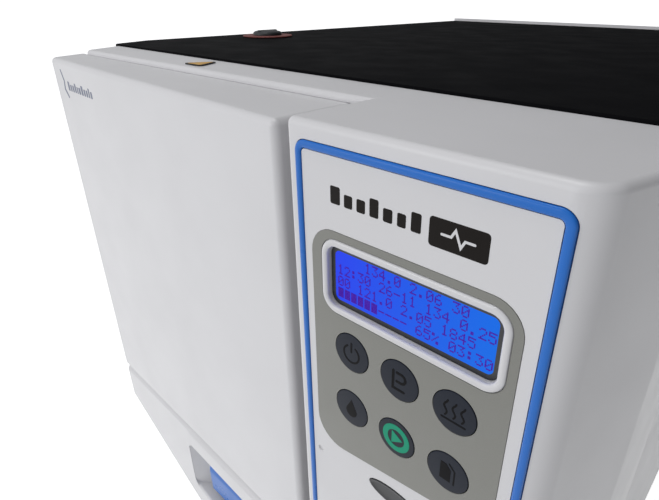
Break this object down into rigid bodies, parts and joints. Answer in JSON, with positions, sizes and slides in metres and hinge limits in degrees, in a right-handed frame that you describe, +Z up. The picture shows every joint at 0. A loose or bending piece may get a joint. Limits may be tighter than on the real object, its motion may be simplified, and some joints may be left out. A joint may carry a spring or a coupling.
{
  "type": "benchtop autoclave",
  "caption": "Benchtop steam autoclave with side-hung front door, pull handle, control panel with display and round keys, tray chamber and rear services.",
  "frame": {"origin": "on the bench, under the middle of the machine's bounding box", "axes": "+Z up, the front with the door and the control panel faces -Y, +X to the right of someone facing the door"},
  "size_m": [0.46, 0.6439, 0.4278],
  "materials": {
    "white_plastic": "satin moulded white plastic",
    "white_paint": "fine-textured white powder coat",
    "black_paint": "fine-textured black powder coat",
    "blue_plastic": "satin blue plastic",
    "grey_film": "grey printed polycarbonate film",
    "slate_film": "dark slate printed film over a dome key",
    "start_key": "dark slate printed film with a green start ring",
    "dark_plastic": "dark moulded plastic",
    "display": "backlit blue liquid crystal display",
    "foot_rubber": "black rubber",
    "silicone": "moulded silicone rubber",
    "stainless": "brushed stainless steel",
    "zinc_steel": "zinc-plated steel",
    "brass": "turned brass",
    "insulation": "woven glass-fibre lagging",
    "tank_plastic": "translucent natural polyethylene",
    "circuit": "green printed circuit board",
    "amber_label": "amber vinyl label",
    "red_ring": "dull red printed ring",
    "aluminium_fins": "mill-finish aluminium"
  },
  "bodies": {
    "cabinet": {"base_tray": "zinc_steel", "front_moulding": "white_plastic", "left_side_panel": "white_paint", "right_side_panel": "white_paint", "rear_panel": "white_paint", "top_cover": "black_paint", "caution_mark": "amber_label", "filler_collar": "red_ring", "water_reservoir": "tank_plastic", "chamber_vessel": "stainless", "heater_band": "silicone", "insulation_jacket": "insulation", "chamber_cradle": "zinc_steel", "tray_rack": "stainless", "tray_1": "stainless", "tray_2": "stainless", "tray_3": "stainless", "door_strike": "zinc_steel", "lock_solenoid": "dark_plastic", "hinge_bracket": "zinc_steel", "hinge_pin": "stainless", "trim_ring": "blue_plastic", "keypad_overlay": "grey_film", "display_bezel": "white_plastic", "display_module": "display", "control_board": "circuit", "port_cover": "dark_plastic", "fan_frame": "dark_plastic", "condenser": "aluminium_fins", "vacuum_pump": "zinc_steel", "valve_block": "brass", "power_supply": "zinc_steel", "air_filter": "tank_plastic", "mains_inlet": "dark_plastic", "relief_valve": "brass", "drain_valve": "brass", "foot_front_left": "foot_rubber", "foot_front_right": "foot_rubber", "foot_rear_left": "foot_rubber", "foot_rear_right": "foot_rubber"},
    "door": {"door_cover": "white_plastic", "door_lower_panel": "white_plastic", "door_inner_liner": "white_plastic", "pressure_plate": "stainless", "door_seal": "silicone", "door_yoke": "zinc_steel", "hinge_leaf": "stainless"},
    "handle": {"door_handle": "blue_plastic"},
    "latch": {"latch_tongue": "stainless"},
    "lock": {"lock_plunger": "stainless"},
    "cap": {"filler_cap": "dark_plastic"},
    "tap": {"drain_knob": "blue_plastic"},
    "fan": {"fan_rotor": "dark_plastic"},
    "rocker": {"power_switch": "dark_plastic"},
    "key_power": {"button_power": "slate_film"},
    "key_release": {"button_release": "slate_film"},
    "key_dry": {"button_dry": "slate_film"},
    "key_nature": {"button_nature": "slate_film"},
    "key_start": {"button_start": "start_key"},
    "key_log": {"button_log": "slate_film"}
  },
  "joints": [
    {"name": "door_hinge", "type": "hinge", "parent": "cabinet", "child": "door", "pos_m": [-0.204, -0.262, 0.27], "axis": [0, 0, -1], "range_deg": [0, 110]},
    {"name": "handle_pivot", "type": "hinge", "parent": "door", "child": "handle", "pos_m": [-0.005, -0.298, 0.107], "axis": [-1, 0, 0], "range_deg": [0, 35]},
    {"name": "latch_slide", "type": "slide", "parent": "door", "child": "latch", "axis": [0, 0, 1], "range_m": [0, 0.006], "stiffness_N_per_m": 200, "springref_m": -0.01},
    {"name": "lock_slide", "type": "slide", "parent": "cabinet", "child": "lock", "axis": [-1, 0, 0], "range_m": [0, 0.008], "stiffness_N_per_m": 60, "springref_m": -0.001},
    {"name": "cap_turn", "type": "hinge", "parent": "cabinet", "child": "cap", "pos_m": [-0.186, -0.101, 0.4216], "axis": [0, 0, 1], "range_deg": [0, 90]},
    {"name": "tap_turn", "type": "hinge", "parent": "cabinet", "child": "tap", "pos_m": [-0.15, 0.315, 0.077], "axis": [0, 0, 1], "range_deg": [0, 90]},
    {"name": "fan_spin", "type": "hinge", "parent": "cabinet", "child": "fan", "pos_m": [0.16, 0.287, 0.3], "axis": [0, 1, 0], "continuous": true},
    {"name": "switch_rock", "type": "hinge", "parent": "cabinet", "child": "rocker", "pos_m": [0.139, 0.3, 0.062], "axis": [-1, 0, 0], "range_deg": [0, 12]},
    {"name": "key_power_press", "type": "slide", "parent": "cabinet", "child": "key_power", "axis": [0, 1, 0], "range_m": [0, 0.0006], "stiffness_N_per_m": 800, "springref_m": -0.0005},
    {"name": "key_release_press", "type": "slide", "parent": "cabinet", "child": "key_release", "axis": [0, 1, 0], "range_m": [0, 0.0006], "stiffness_N_per_m": 800, "springref_m": -0.0005},
    {"name": "key_dry_press", "type": "slide", "parent": "cabinet", "child": "key_dry", "axis": [0, 1, 0], "range_m": [0, 0.0006], "stiffness_N_per_m": 800, "springref_m": -0.0005},
    {"name": "key_nature_press", "type": "slide", "parent": "cabinet", "child": "key_nature", "axis": [0, 1, 0], "range_m": [0, 0.0006], "stiffness_N_per_m": 800, "springref_m": -0.0005},
    {"name": "key_start_press", "type": "slide", "parent": "cabinet", "child": "key_start", "axis": [0, 1, 0], "range_m": [0, 0.0006], "stiffness_N_per_m": 800, "springref_m": -0.0005},
    {"name": "key_log_press", "type": "slide", "parent": "cabinet", "child": "key_log", "axis": [0, 1, 0], "range_m": [0, 0.0006], "stiffness_N_per_m": 800, "springref_m": -0.0005}
  ],
  "couplings": [
    {"joint": "handle_pivot", "follows": "latch_slide", "rad_per_m": 101.81}
  ]
}
